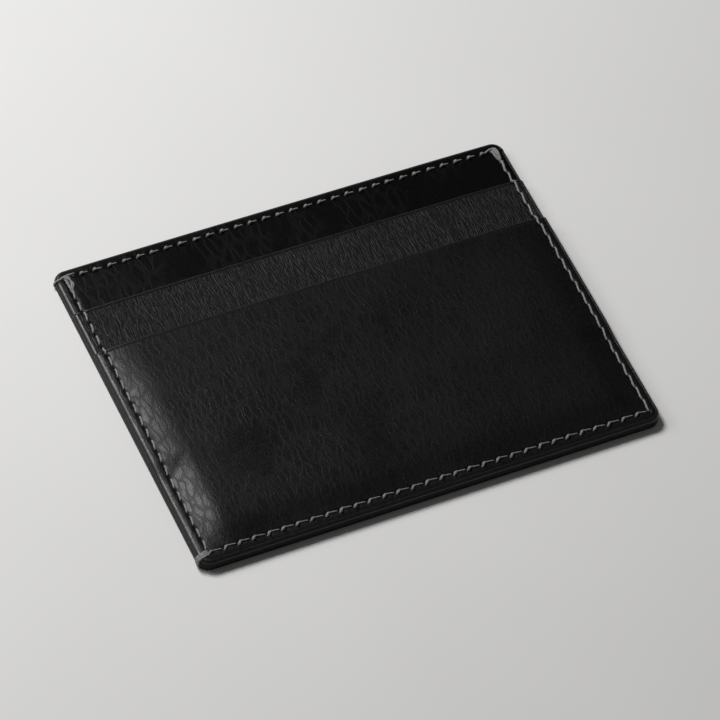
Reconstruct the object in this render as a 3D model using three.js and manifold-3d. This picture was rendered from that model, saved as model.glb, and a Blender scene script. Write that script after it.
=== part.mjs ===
// Leather card holder: two card pockets on the front of a lined body with an open-topped centre
// compartment, sewn together round its sides and bottom.
// Millimetres. X runs along the long edge, Y from the bottom seam to the open top edge, and Z up
// from the back face, which lies at Z = 0. The origin is the middle of the back face.
import * as THREE from 'three';
import { mergeVertices } from 'three/addons/utils/BufferGeometryUtils.js';
import Module from 'manifold-3d';

const wasm = await Module();
wasm.setup();

// ---- Driving dimensions ------------------------------------------------------------------------
const holderWidth = 100;
const holderHeight = 76;
const cornerRadius = 2.5;

// ID-1 cards, which the pockets are cut to fit.
const cardWidth = 85.6;
const cardHeight = 53.98;
const cardSideSpare = 2.4;
const cardDepthSpare = 4;

// Leather, lining and the painted coat on the cut edges. At the corners the coat stands clear of
// the leather, because its inner radius is smaller by the ease.
const panelThickness = 0.8;
const liningThickness = 0.3;
const tPocketThickness = 0.5;
const coatThickness = 0.2;
const coatCornerEase = 0.15;

// Pocket mouths, measured down from the top edge, and the T-pocket's arms.
const tMouthDrop = 11.2;
const pocketMouthDrop = 22.2;
const tArmLength = 38.4;

// Beyond the T-pocket the front pocket slopes down to the body panel. The slopes start just clear
// of the T-pocket. Below its arms they have a set run, and elsewhere they end short of the seam.
const drapeGap = 0.3;
const drapeRun = 3;
const drapeSideGap = 0.2;
const drapeBottomGap = 1.02;

// Stitching that lies on a face.
const stitchInset = 2.2;
const stitchPitch = 3.08;
const threadWidth = 0.6;
const threadHeight = 0.36;
const threadWaist = 0.2;
const threadGap = 0.1;
const tackLength = 4.2;
const wrapThickness = 0.3;

// Stitching that lies in a groove: on the back face, and in the hidden seam of the T-pocket.
const grooveWidth = 0.9;
const grooveDepth = 0.3;
const sunkHeight = 0.26;
const sunkWaist = 0.16;
const hiddenSeamInset = 2;
const hiddenGrooveDepth = 0.25;
const hiddenHeight = 0.2;
const hiddenWaist = 0.12;

// How far a cutting solid runs past what it cuts.
const cutterReach = 1;
const arcSegments = 6;

// ---- Levels and places that follow -------------------------------------------------------------
const backTop = panelThickness;
const backLiningTop = backTop + liningThickness;
const bodyLiningTop = backLiningTop + liningThickness;
const bodyTop = bodyLiningTop + panelThickness;
const tPocketTop = bodyTop + tPocketThickness;
const pocketTop = tPocketTop + panelThickness;
const pocketMarginTop = bodyTop + panelThickness;

const halfWidth = holderWidth / 2;
const halfHeight = holderHeight / 2;
const topCornerY = halfHeight - cornerRadius;
const tMouthY = halfHeight - tMouthDrop;
const pocketMouthY = halfHeight - pocketMouthDrop;
const tArmEndY = tMouthY - tArmLength;
const tBodyHalfWidth = (cardWidth + cardSideSpare) / 2;
const tBottomY = tMouthY - cardHeight - cardDepthSpare;
const seamX = halfWidth - stitchInset;
const seamY = halfHeight - stitchInset;

// The front pocket's slopes: from the T-pocket's sides and bottom, and from the ends of its arms.
const drapeInnerX = tBodyHalfWidth + drapeGap;
const drapeOuterX = seamX - threadWidth / 2 - drapeSideGap;
const drapeInnerY = tBottomY - drapeGap;
const drapeOuterY = -(seamY - threadWidth / 2 - drapeBottomGap);
const drapeArmY = tArmEndY - drapeGap;
const drapeClearY = drapeArmY - drapeRun;

// Where a thread wraps round a side edge: at the left end of the compartment's mouth, and at the
// right end of the T-pocket's mouth.
const cornerWrap = { side: -1, y: seamY, level: bodyTop };
const mouthWrap = { side: 1, y: tMouthY, level: tPocketTop };

// ---- Solids ------------------------------------------------------------------------------------
function toSolid(geometry) {
  const plain = geometry.clone();
  plain.deleteAttribute('normal');
  plain.deleteAttribute('uv');
  const merged = mergeVertices(plain, 1e-5);
  const vertProperties = new Float32Array(merged.attributes.position.array);
  const triVerts = new Uint32Array(merged.index.array);
  return new wasm.Manifold(new wasm.Mesh({ numProp: 3, vertProperties, triVerts }));
}

function toGeometry(solid) {
  const mesh = solid.getMesh();
  const geometry = new THREE.BufferGeometry();
  geometry.setAttribute('position', new THREE.BufferAttribute(mesh.vertProperties, 3));
  geometry.setIndex(new THREE.BufferAttribute(mesh.triVerts, 1));
  geometry.computeVertexNormals();
  return geometry;
}

function shapeFrom(points) {
  return new THREE.Shape(points.map(([x, y]) => new THREE.Vector2(x, y)));
}

function extrude(shape, bottom, top) {
  const settings = { depth: top - bottom, bevelEnabled: false, curveSegments: arcSegments };
  return toSolid(new THREE.ExtrudeGeometry(shape, settings).translate(0, 0, bottom));
}

// A box from its two opposite corners.
function block(low, high) {
  const size = high.map((value, axis) => value - low[axis]);
  const middle = high.map((value, axis) => (value + low[axis]) / 2);
  return toSolid(new THREE.BoxGeometry(...size).translate(...middle));
}

function union(solids) {
  return solids.reduce((whole, solid) => whole.add(solid));
}

// Stands a side view up: its first coordinate runs along `along`, its second along Z, and it is
// `width` wide about the line at `offset`.
function standUp(shape, along, offset, width) {
  const [x, y, z] = [[1, 0, 0], [0, 1, 0], [0, 0, 1]].map((axis) => new THREE.Vector3(...axis));
  const axes = along === 'x' ? [x, z, y.clone().negate()] : [y, z, x];
  const place = along === 'x' ? [0, offset, 0] : [offset, 0, 0];
  const geometry = new THREE.ExtrudeGeometry(shape, { depth: width, bevelEnabled: false });
  geometry.translate(0, 0, -width / 2);
  geometry.applyMatrix4(new THREE.Matrix4().makeBasis(...axes));
  return toSolid(geometry.translate(...place));
}

// ---- Outlines ----------------------------------------------------------------------------------
// The holder's outline drawn in by `inset`. Cut off at `topY`, it has square top corners.
function outline(inset, radius, topY) {
  const x = halfWidth - inset;
  const bottomY = inset - halfHeight;
  const shape = new THREE.Shape();
  shape.moveTo(-x + radius, bottomY);
  shape.lineTo(x - radius, bottomY);
  shape.absarc(x - radius, bottomY + radius, radius, -Math.PI / 2, 0);
  if (topY === undefined) {
    const centreY = -bottomY - radius;
    shape.lineTo(x, centreY);
    shape.absarc(x - radius, centreY, radius, 0, Math.PI / 2);
    shape.lineTo(-x + radius, -bottomY);
    shape.absarc(-x + radius, centreY, radius, Math.PI / 2, Math.PI);
  } else {
    shape.lineTo(x, topY);
    shape.lineTo(-x, topY);
  }
  shape.lineTo(-x, bottomY + radius);
  shape.absarc(-x + radius, bottomY + radius, radius, Math.PI, Math.PI * 1.5);
  return shape;
}

// The outline that leather is cut to, just inside the edge coat.
function leatherOutline(topY) {
  return outline(coatThickness, cornerRadius - coatThickness, topY);
}

// ---- Panels ------------------------------------------------------------------------------------
// A layer that fills the whole outline between two levels.
function makeFullLayer(bottom, top) {
  return extrude(leatherOutline(), bottom, top);
}

function grooveAlongX(y, fromX, toX, bottom, top) {
  return block([fromX, y - grooveWidth / 2, bottom], [toX, y + grooveWidth / 2, top]);
}

function grooveAlongY(x, fromY, toY, bottom, top) {
  return block([x - grooveWidth / 2, fromY, bottom], [x + grooveWidth / 2, toY, top]);
}

// The channels under the edge wraps, from the seam out through the edge.
function cutWrapGrooves(solid) {
  const grooves = [cornerWrap, mouthWrap].map(({ side, y }) => {
    const ends = [side * seamX, side * (halfWidth + cutterReach)];
    return grooveAlongX(y, Math.min(...ends), Math.max(...ends), -cutterReach, grooveDepth);
  });
  return solid.subtract(union(grooves));
}

function makeBackPanel() {
  const endX = seamX + grooveWidth / 2;
  const grooves = [
    grooveAlongX(-seamY, -endX, endX, -cutterReach, grooveDepth),
    grooveAlongX(seamY, -endX, endX, -cutterReach, grooveDepth),
    grooveAlongY(-seamX, -seamY, seamY, -cutterReach, grooveDepth),
    grooveAlongY(seamX, -seamY, seamY, -cutterReach, grooveDepth),
  ];
  return cutWrapGrooves(makeFullLayer(0, backTop).subtract(union(grooves)));
}

// Arms as wide as the holder, above a body that is cut to the card.
function makeTPocketPanel() {
  const armX = halfWidth - coatThickness;
  const mouthY = tMouthY - coatThickness;
  const shape = shapeFrom([
    [-tBodyHalfWidth, tBottomY],
    [tBodyHalfWidth, tBottomY],
    [tBodyHalfWidth, tArmEndY],
    [armX, tArmEndY],
    [armX, mouthY],
    [-armX, mouthY],
    [-armX, tArmEndY],
    [-tBodyHalfWidth, tArmEndY],
  ]);
  const endX = tBodyHalfWidth + cutterReach;
  const floor = tPocketTop - hiddenGrooveDepth;
  const seam = tBottomY + hiddenSeamInset;
  const groove = grooveAlongX(seam, -endX, endX, floor, tPocketTop + cutterReach);
  return extrude(shape, bodyTop, tPocketTop).subtract(groove);
}

// The level that the front pocket lies on: the T-pocket where there is one, else the body panel.
function pocketFloor(x, y) {
  const overArms = y >= drapeArmY;
  const overTBody = Math.abs(x) <= drapeInnerX && y >= drapeInnerY;
  return overArms || overTBody ? tPocketTop : bodyTop;
}

// A sheet with a grid line at each end of its slopes, lowered to its floor and cut to the outline.
function makeFrontPocketPanel() {
  const endX = halfWidth + drapeRun;
  const linesX = [-endX, -drapeOuterX, -drapeInnerX, drapeInnerX, drapeOuterX, endX];
  const linesY = [-halfHeight - drapeRun, drapeOuterY, drapeInnerY, drapeClearY, drapeArmY, halfHeight];
  const columns = linesX.length - 1;
  const rows = linesY.length - 1;
  const sheet = new THREE.BoxGeometry(columns, rows, panelThickness, columns, rows, 1);
  const points = sheet.attributes.position;
  for (let i = 0; i < points.count; i += 1) {
    const x = linesX[Math.round(points.getX(i) + columns / 2)];
    const y = linesY[Math.round(points.getY(i) + rows / 2)];
    points.setXYZ(i, x, y, pocketFloor(x, y) + points.getZ(i) + panelThickness / 2);
  }
  const shape = leatherOutline(pocketMouthY - coatThickness);
  return toSolid(sheet).intersect(extrude(shape, 0, pocketTop + cutterReach));
}

// ---- Threads -----------------------------------------------------------------------------------
// The face that a seam crosses is a stepped and sloping line of [distance, level] points, whose
// distance falls from the first point to the last. This is the face along a side of the holder.
function sideFace(fromY, toY, stepGap) {
  return [
    [fromY, bodyTop],
    [tMouthY + stepGap, bodyTop],
    [tMouthY + stepGap, tPocketTop],
    [pocketMouthY + stepGap, tPocketTop],
    [pocketMouthY + stepGap, pocketTop],
    [drapeArmY - stepGap, pocketTop],
    [drapeClearY - stepGap, pocketMarginTop],
    [toY, pocketMarginTop],
  ];
}

function flatFace(from, to, level) {
  return [[from, level], [to, level]];
}

function levelAt(face, distance) {
  const spans = face.slice(1).map((end, i) => [face[i], end]);
  const crossed = spans.filter(([start, end]) => distance <= start[0] && distance >= end[0]);
  const levels = crossed.map(([start, end]) => {
    const run = start[0] - end[0];
    const share = run === 0 ? 1 : (start[0] - distance) / run;
    return run === 0 ? Math.max(start[1], end[1]) : start[1] + (end[1] - start[1]) * share;
  });
  return Math.max(...levels);
}

// The highest level within half a stitch of a place, so that a thread climbs a step in one piece.
function levelNear(face, distance) {
  const first = face[0][0];
  const last = face[face.length - 1][0];
  const places = [-0.5, -0.25, 0, 0.25, 0.5].map((share) => distance + share * stitchPitch);
  return Math.max(...places.map((place) => levelAt(face, Math.min(first, Math.max(last, place)))));
}

// A sewn thread seen from the side: flat on its face below, and above it a hump for each stitch
// and a waist at each hole.
function threadProfile(face, height, waist) {
  const first = face[0][0];
  const last = face[face.length - 1][0];
  const stitches = Math.max(1, Math.round((first - last) / stitchPitch));
  const pitch = (first - last) / stitches;
  const upper = [];
  for (let i = 0; i < stitches; i += 1) {
    const hole = first - i * pitch;
    upper.push([hole, waist], [hole - pitch / 4, height], [hole - (pitch * 3) / 4, height]);
  }
  upper.push([last, waist]);
  const points = upper.map(([distance, above]) => [distance, levelNear(face, distance) + above]);
  return shapeFrom([...face, ...points.reverse()]);
}

function threadAlong(along, offset, face, height = threadHeight, waist = threadWaist) {
  return standUp(threadProfile(face, height, waist), along, offset, threadWidth);
}

// One thread down both sides and along the bottom.
function makeSideSeam(downSide, alongBottom, height, waist) {
  return union([
    threadAlong('y', -seamX, downSide, height, waist),
    threadAlong('x', -seamY, alongBottom, height, waist),
    threadAlong('y', seamX, downSide, height, waist),
  ]);
}

function makeFrontSideSeam() {
  const downSide = sideFace(seamY, -seamY, threadGap);
  return makeSideSeam(downSide, flatFace(seamX, -seamX, pocketMarginTop));
}

// A thread on the back is made on Z = 0 and turned over into its groove.
function turnIntoBackGroove(solid) {
  return solid.rotate([0, 180, 0]).translate([0, 0, grooveDepth]);
}

function makeBackSideSeam() {
  const downSide = flatFace(seamY, -seamY, 0);
  const alongBottom = flatFace(seamX, -seamX, 0);
  return turnIntoBackGroove(makeSideSeam(downSide, alongBottom, sunkHeight, sunkWaist));
}

// Along the top edge, between the ends of the side seam.
function topSeamFace(level) {
  const endX = seamX - threadWidth / 2 - threadGap;
  return flatFace(endX, -endX, level);
}

function makeFrontTopSeam() {
  return threadAlong('x', seamY, topSeamFace(bodyTop));
}

function makeBackTopSeam() {
  return turnIntoBackGroove(threadAlong('x', seamY, topSeamFace(0), sunkHeight, sunkWaist));
}

function makeTPocketBottomSeam() {
  const face = flatFace(tBodyHalfWidth, -tBodyHalfWidth, tPocketTop - hiddenGrooveDepth);
  return threadAlong('x', tBottomY + hiddenSeamInset, face, hiddenHeight, hiddenWaist);
}

// A short doubled run of thread beside the side seam, downwards from `fromY`.
function makeCornerTack(x, fromY, level) {
  return threadAlong('y', x, flatFace(fromY, fromY - tackLength, level));
}

// A thread that goes from the seam on the front, round the side edge, to the seam on the back.
function makeEdgeWrap({ side, y, level }) {
  const near = seamX + threadWidth / 2 + threadGap;
  const outer = halfWidth + wrapThickness;
  const sunkFace = grooveDepth - sunkHeight;
  const shape = shapeFrom([
    [near, level],
    [near, level + wrapThickness],
    [outer, level + wrapThickness],
    [outer, sunkFace],
    [near, sunkFace],
    [near, grooveDepth],
    [halfWidth, grooveDepth],
    [halfWidth, level],
  ]);
  const wrap = standUp(shape, 'x', y, threadWidth);
  return side > 0 ? wrap : wrap.mirror([1, 0, 0]);
}

// ---- Edge coats --------------------------------------------------------------------------------
function makeCoatRing(bottom, top) {
  const inside = outline(coatThickness, cornerRadius - coatThickness - coatCornerEase);
  const hollow = extrude(inside, bottom - cutterReach, top + cutterReach);
  return extrude(outline(0, cornerRadius), bottom, top).subtract(hollow);
}

// Round both sides and the bottom, as high as the layers are along the side.
function makeSideEdgeCoat() {
  const face = sideFace(topCornerY, -halfHeight, 0);
  const sideView = shapeFrom([...face, [-halfHeight, 0], [topCornerY, 0]]);
  const ring = makeCoatRing(0, pocketTop);
  return cutWrapGrooves(ring.intersect(standUp(sideView, 'y', 0, holderWidth)));
}

// Over the top edge and its two corners.
function makeTopEdgeCoat(bottom, top) {
  const upperEnd = block([-halfWidth, topCornerY, bottom], [halfWidth, halfHeight, top]);
  return cutWrapGrooves(makeCoatRing(bottom, top).intersect(upperEnd));
}

function makeMouthCoat(mouthY, bottom, top) {
  const endX = halfWidth - coatThickness;
  return block([-endX, mouthY - coatThickness, bottom], [endX, mouthY, top]);
}

// ---- Materials ---------------------------------------------------------------------------------
function finish(color, roughness) {
  return new THREE.MeshStandardMaterial({ color, roughness, metalness: 0 });
}

const pocketLeather = finish(0x1d1b1c, 0.38);
const mattLeather = finish(0x2c2a2b, 0.6);
const bodyLeather = finish(0x141314, 0.4);
const liningLeather = finish(0x242122, 0.75);
const edgeCoat = finish(0x0f0f10, 0.25);
const greyThread = finish(0x8d8b8c, 0.55);

// ---- Assembly ----------------------------------------------------------------------------------
const holder = new THREE.Group();

function add(name, solid, material) {
  const mesh = new THREE.Mesh(toGeometry(solid), material);
  mesh.name = name;
  holder.add(mesh);
}

add('back_panel', makeBackPanel(), bodyLeather);
add('back_lining', makeFullLayer(backTop, backLiningTop), liningLeather);
add('body_lining', makeFullLayer(backLiningTop, bodyLiningTop), liningLeather);
add('front_body_panel', makeFullLayer(bodyLiningTop, bodyTop), bodyLeather);
add('t_pocket_panel', makeTPocketPanel(), mattLeather);
add('front_pocket_panel', makeFrontPocketPanel(), pocketLeather);

add('side_seam_front_thread', makeFrontSideSeam(), greyThread);
add('side_seam_back_thread', makeBackSideSeam(), greyThread);
add('top_seam_front_thread', makeFrontTopSeam(), greyThread);
add('top_seam_back_thread', makeBackTopSeam(), greyThread);
add('t_pocket_bottom_seam', makeTPocketBottomSeam(), greyThread);

const tackSpacing = threadWidth + threadGap;
const topTackX = seamX - tackSpacing;
const topTackY = seamY - threadWidth / 2 - threadGap;
const bottomTackX = -seamX - tackSpacing;
const bottomTackY = tackLength - seamY;
add('top_left_corner_tack', makeCornerTack(-topTackX, topTackY, bodyTop), greyThread);
add('top_right_corner_tack', makeCornerTack(topTackX, topTackY, bodyTop), greyThread);
add('bottom_left_corner_tack', makeCornerTack(bottomTackX, bottomTackY, pocketMarginTop), greyThread);
add('top_left_edge_wrap', makeEdgeWrap(cornerWrap), greyThread);
add('t_mouth_edge_wrap', makeEdgeWrap(mouthWrap), greyThread);

add('side_edge_coat', makeSideEdgeCoat(), edgeCoat);
add('front_top_edge_coat', makeTopEdgeCoat(backLiningTop, bodyTop), edgeCoat);
add('back_top_edge_coat', makeTopEdgeCoat(0, backLiningTop), edgeCoat);
add('t_mouth_edge_coat', makeMouthCoat(tMouthY, bodyTop, tPocketTop), edgeCoat);
add('pocket_mouth_edge_coat', makeMouthCoat(pocketMouthY, tPocketTop, pocketTop), edgeCoat);

export default holder;
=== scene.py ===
import math

import bpy
import numpy as np
from mathutils import Matrix, Vector


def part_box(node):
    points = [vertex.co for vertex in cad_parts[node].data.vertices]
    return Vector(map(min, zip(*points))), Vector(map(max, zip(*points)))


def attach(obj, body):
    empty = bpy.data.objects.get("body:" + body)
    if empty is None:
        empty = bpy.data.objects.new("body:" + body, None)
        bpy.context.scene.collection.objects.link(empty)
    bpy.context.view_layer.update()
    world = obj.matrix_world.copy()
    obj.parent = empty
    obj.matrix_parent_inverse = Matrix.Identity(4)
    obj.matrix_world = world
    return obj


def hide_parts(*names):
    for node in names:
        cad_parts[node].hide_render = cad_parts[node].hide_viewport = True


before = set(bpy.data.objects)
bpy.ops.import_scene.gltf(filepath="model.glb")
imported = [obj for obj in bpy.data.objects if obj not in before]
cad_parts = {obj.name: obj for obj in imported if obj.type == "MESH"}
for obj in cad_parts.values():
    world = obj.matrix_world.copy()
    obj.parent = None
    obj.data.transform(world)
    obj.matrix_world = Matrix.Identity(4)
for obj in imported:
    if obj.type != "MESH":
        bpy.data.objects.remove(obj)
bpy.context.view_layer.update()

MM = 0.001
SEED = 7

# ---- Sizes read from the frame -------------------------------------------------------------------


def box_mm(node):
    """A CAD node's lowest and highest corner."""
    low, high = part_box(node)
    return np.array(low) / MM, np.array(high) / MM


HALF_X = box_mm("side_edge_coat")[1][0]
HALF_Y = -box_mm("side_edge_coat")[0][1]
LEATHER_X = box_mm("back_panel")[1][0]
LEATHER_Y = box_mm("back_panel")[1][1]
T_MOUTH = box_mm("t_mouth_edge_coat")[1][1]
POCKET_MOUTH = box_mm("pocket_mouth_edge_coat")[1][1]
T_HALF = box_mm("t_pocket_bottom_seam")[1][0]
T_BOTTOM = box_mm("t_pocket_panel")[0][1]
THREAD = box_mm("top_seam_front_thread")[1][1] - box_mm("top_seam_front_thread")[0][1]
SEAM_X = box_mm("side_seam_front_thread")[1][0] - THREAD / 2
SEAM_Y = box_mm("top_seam_front_thread")[1][1] - THREAD / 2

BACK_TOP = box_mm("back_panel")[1][2]
BACK_LINING_TOP = box_mm("back_lining")[1][2]
BODY_LINING_TOP = box_mm("body_lining")[1][2]
BODY_TOP = box_mm("front_body_panel")[1][2]
T_TOP = box_mm("t_pocket_panel")[1][2]
PANEL = BODY_TOP - BODY_LINING_TOP
T_LEATHER = T_TOP - BODY_TOP


def arm_end():
    """The lower edge of the T-pocket's arms: its lowest points beside its body."""
    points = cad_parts["t_pocket_panel"].data.vertices
    return min(v.co.y for v in points if abs(v.co.x) / MM > T_HALF + 1) / MM


ARM_END = arm_end()

# ---- Sizes of the finish -------------------------------------------------------------------------
CORNER = 2.5
COAT = 0.2
PITCH = 3.08

# The front pocket's slope from the T-pocket down to the body.
DRAPE_RUN = 6.0
DRAPE_ACROSS = 5.6
DRAPE_OVERLAP = 1
DRAPE_SIDE = SEAM_X - THREAD / 2

# How far the panels stand up between their seams, and the lengths over which they rise.
BODY_BOW = 0.2
BOW_RUN = 14
MOUTH_CROWN = 0.4
MOUTH_RUN = 13
POCKET_CROWN = 0.8
DRAPED_CROWN = 0.55
CROWN_RUN = 6.6
CROWN_FOOT = 1.5
CROWN_RISE = 9
T_CROWN = 0.12
WAVE_START = 1.5
WAVE_END = 12

# The rounded edges, the dressed strip along them and the margins outside the seams.
EDGE_ROLL = 0.6
BACK_ROLL = 0.45
POCKET_MOUTH_ROLL = 0.3
T_MOUTH_ROLL = 0.22
BEVEL = 0.95
BEVEL_DROP = 0.07
BEVEL_POWER = 1.3
PAINT_REACH = 0.75
MARGIN = HALF_X - SEAM_X
MARGIN_DROP = 0.28
TOP_MARGIN_DROP = 0.14
TOP_MARGIN_FROM = SEAM_Y - 2
TOP_MARGIN_TO = SEAM_Y + 1
FALL_LIMIT = 1.2

# The valleys that the seams pull, the needle holes, and the creases beside the mouths.
SEAM_VALLEY = 0.06
BACK_VALLEY = 0.22
SEAM_VALLEY_WIDTH = 0.5
SEAM_OVERRUN = 0.3
HOLE_DEPTH = 0.3
HOLE_RADIUS = 0.36
HOLE_REACH = 2
HOLE_SLIP = 0.09
HOLE_DRIFT = 0.04
FAR = 99.0
CREASE_INSET = 0.55
CREASE_DEPTH = 0.11
CREASE_WIDTH = 0.15
# How far the creases beside the mouths are painted towards black: painted shade.
CREASE_SHADE = 0.75

# How the layers meet: how far the leather stops short of its painted mouth, how far in from a
# mouth or a side its edge is measured, how far layers lap or sink into each other, and how far
# below the front pocket's mouth the T-pocket's grid turns fine.
MOUTH_EASE = 0.1
MOUTH_OVERLAP = 0.4
LAP = 0.03
T_SINK = 0.02
T_FINE_RUN = 2

# The threads.
THREAD_RADIUS = 0.22
THREAD_LAY = 0.95
THREAD_SIDES = 12
PLY_WAIST = 0.8
PLY_SWELL = 0.26
END_WIDTH = 0.75
END_TAPER = 6
STITCH_STEP = 0.12
STRAND_STEP = 0.22
LEAN_SPREAD = 0.18
HEIGHT_SPREAD = 0.12
STITCH_SINK = 0.4
SUNK_HEIGHT = 0.62
BACK_CLEARANCE = 0.02
WRAP_FOOT = 0.25


# ---- Surfaces ------------------------------------------------------------------------------------
def ease(start, end, value):
    """A smooth step from 0 at start to 1 at end."""
    t = np.clip((value - start) / (end - start), 0.0, 1.0)
    return t * t * (3 - 2 * t)


def edge_distance(x, y):
    """How far a point is inside the holder's rounded outline."""
    qx = np.abs(x) - (HALF_X - CORNER)
    qy = np.abs(y) - (HALF_Y - CORNER)
    outside = np.hypot(np.maximum(qx, 0), np.maximum(qy, 0))
    return CORNER - outside - np.minimum(np.maximum(qx, qy), 0)


def rolled(distance, radius=EDGE_ROLL):
    """The drop of a rounded edge at a distance inside it."""
    inside = np.clip(radius - distance, 0, radius)
    return radius - np.sqrt(radius**2 - inside**2)


def body_bow(x, y):
    """How far the body stands up between its seams, over the empty compartment."""
    across = 1 - np.clip(np.abs(x) / SEAM_X, 0, 1) ** 4
    return BODY_BOW * across * ease(-SEAM_Y, -SEAM_Y + BOW_RUN, y)


def margin_drop(distance, y):
    """How far a face falls from a seam towards the edge outside it."""
    at_top = ease(TOP_MARGIN_FROM, TOP_MARGIN_TO, y)
    full = MARGIN_DROP + (TOP_MARGIN_DROP - MARGIN_DROP) * at_top
    return full * np.clip(1 - distance / MARGIN, 0, FALL_LIMIT) ** 2


def bevel(distance):
    """The extra fall of the outermost leather, where the edge was dressed."""
    return BEVEL_DROP * np.clip(1 - distance / BEVEL, 0, FALL_LIMIT) ** BEVEL_POWER


def edge_fall(distance, y):
    """The whole fall of a face towards the outline."""
    return margin_drop(distance, y) + bevel(distance) + rolled(distance)


def pocket_crown(x, y):
    """How far the front pocket stands up like a pillow between its seams, less so at its mouth."""
    inside = np.clip((DRAPE_SIDE - np.abs(x)) / CROWN_RUN, 0, 1)
    arms = ease(ARM_END - DRAPE_RUN, ARM_END, y)
    full = DRAPED_CROWN + (POCKET_CROWN - DRAPED_CROWN) * arms
    height = full + (MOUTH_CROWN - full) * ease(POCKET_MOUTH - MOUTH_RUN, POCKET_MOUTH, y)
    foot = ease(-SEAM_Y - CROWN_FOOT, -SEAM_Y + CROWN_RISE, y)
    return height * (1 - (1 - inside) ** 2) * foot


def drape(x, y):
    """1 where the front pocket lies on the T-pocket and 0 where it lies on the body."""
    arms = ease(ARM_END - DRAPE_RUN, ARM_END, y)
    across = ease(0, DRAPE_ACROSS, DRAPE_SIDE - np.abs(x))
    upward = ease(T_BOTTOM - DRAPE_RUN, T_BOTTOM + DRAPE_OVERLAP, y)
    return np.maximum(arms, across * upward)


def seam_dip(x, y, depth=SEAM_VALLEY):
    """The valley that the seams pull into the leather, and how near a point is to a hole."""
    from_sides = np.abs(np.abs(x) - SEAM_X)
    from_ends = np.abs(np.abs(y) - SEAM_Y)
    on_sides = np.where(np.abs(y) < SEAM_Y + SEAM_OVERRUN, from_sides, FAR)
    on_ends = np.where(np.abs(x) < SEAM_X + SEAM_OVERRUN, from_ends, FAR)
    distance = np.minimum(on_sides, on_ends)
    valley = depth * np.exp(-((distance / SEAM_VALLEY_WIDTH) ** 2))
    pit = np.zeros_like(valley)
    near = distance < HOLE_REACH
    if near.any():
        px, py = x[near], y[near]
        closest = np.full(px.shape, FAR)
        for hole_x, hole_y in HOLES:
            closest = np.minimum(closest, np.hypot(px - hole_x, py - hole_y))
        pit[near] = np.exp(-((closest / HOLE_RADIUS) ** 2))
    return valley + HOLE_DEPTH * pit, pit


def creased(distance):
    """A line pressed into the leather beside a mouth: 1 in its middle and 0 away from it."""
    return np.exp(-(((distance - CREASE_INSET) / CREASE_WIDTH) ** 2))


def waves(x, y, strength):
    """The slight unevenness of a flexible panel: slow waves with quicker ones on them."""
    slow = np.sin(x * 0.21 + 1.3) * np.cos(y * 0.17 + 0.4)
    slow += 0.6 * np.sin(x * 0.11 - y * 0.23 + 2.1)
    quick = 0.35 * np.sin(x * 0.63 + y * 0.12) * np.cos(y * 0.41 - x * 0.09 + 1.0)
    return strength * (slow + quick) * ease(WAVE_START, WAVE_END, edge_distance(x, y))


def body_face(x, y):
    """The front body panel's face, without its seams and edges."""
    return BODY_TOP + body_bow(x, y)


def t_face(x, y):
    """The T-pocket's face, without its seams and edges."""
    crown = T_CROWN * (1 - np.clip(np.abs(x) / DRAPE_SIDE, 0, 1) ** 5)
    return BODY_TOP + T_LEATHER + body_bow(x, y) + crown


def pocket_face(x, y):
    """The front pocket's face, without its seams and edges."""
    return BODY_TOP + PANEL + body_bow(x, y) + T_LEATHER * drape(x, y) + pocket_crown(x, y)


def front_level(x, y):
    """The front's exposed face, whichever layer that is, without seams and rolled edges."""
    x, y = np.asarray(x, float), np.asarray(y, float)
    upper = np.where(y > T_MOUTH, body_face(x, y), t_face(x, y))
    return np.where(y > POCKET_MOUTH, upper, pocket_face(x, y))


# ---- Seams: where the holes are --------------------------------------------------------------------
random = np.random.default_rng(SEED)


def hole_run(start, end):
    """Evenly pricked holes from one corner to the next, a little uneven as handwork is."""
    start, end = np.array(start, float), np.array(end, float)
    length = np.linalg.norm(end - start)
    count = round(length / PITCH)
    along = (end - start) / length
    across = np.array([-along[1], along[0]])
    holes = []
    for i in range(count + 1):
        inner = 0 < i < count
        slip = random.normal(0, HOLE_SLIP) if inner else 0.0
        drift = random.normal(0, HOLE_DRIFT) if inner else 0.0
        holes.append(start + along * (length * i / count + slip) + across * drift)
    return holes


LEFT_RUN = hole_run((-SEAM_X, SEAM_Y), (-SEAM_X, -SEAM_Y))
BOTTOM_RUN = hole_run((-SEAM_X, -SEAM_Y), (SEAM_X, -SEAM_Y))
RIGHT_RUN = hole_run((SEAM_X, -SEAM_Y), (SEAM_X, SEAM_Y))
TOP_RUN = hole_run((SEAM_X, SEAM_Y), (-SEAM_X, SEAM_Y))
HOLES = [*LEFT_RUN, *BOTTOM_RUN, *RIGHT_RUN, *TOP_RUN]


# ---- Mesh building -------------------------------------------------------------------------------
def make_object(name, points, faces, material, sharp=(), pit=None):
    """A smooth-shaded mesh of points in millimetres. pit is how far each point is in a hole."""
    mesh = bpy.data.meshes.new(name)
    mesh.from_pydata((np.asarray(points) * MM).tolist(), [], faces)
    mesh.polygons.foreach_set("use_smooth", [True] * len(mesh.polygons))
    if sharp:
        wanted = set(sharp)
        for edge in mesh.edges:
            edge.use_edge_sharp = tuple(sorted(edge.vertices)) in wanted
    # pit goes to the leather as a mask of the holes and creases that it darkens: painted shade.
    values = np.zeros(len(points)) if pit is None else pit
    layer = mesh.attributes.new("pit", "FLOAT", "POINT")
    layer.data.foreach_set("value", np.asarray(values, dtype=np.float32))
    mesh.update()
    piece = bpy.data.objects.new(name, mesh)
    bpy.context.scene.collection.objects.link(piece)
    piece.data.materials.append(material)
    return piece


def finish_piece(piece, slot, *nodes):
    """Hands a piece to the frame: its body and the CAD nodes it stands for. slot is not used."""
    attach(piece, "root")
    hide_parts(*nodes)


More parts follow.
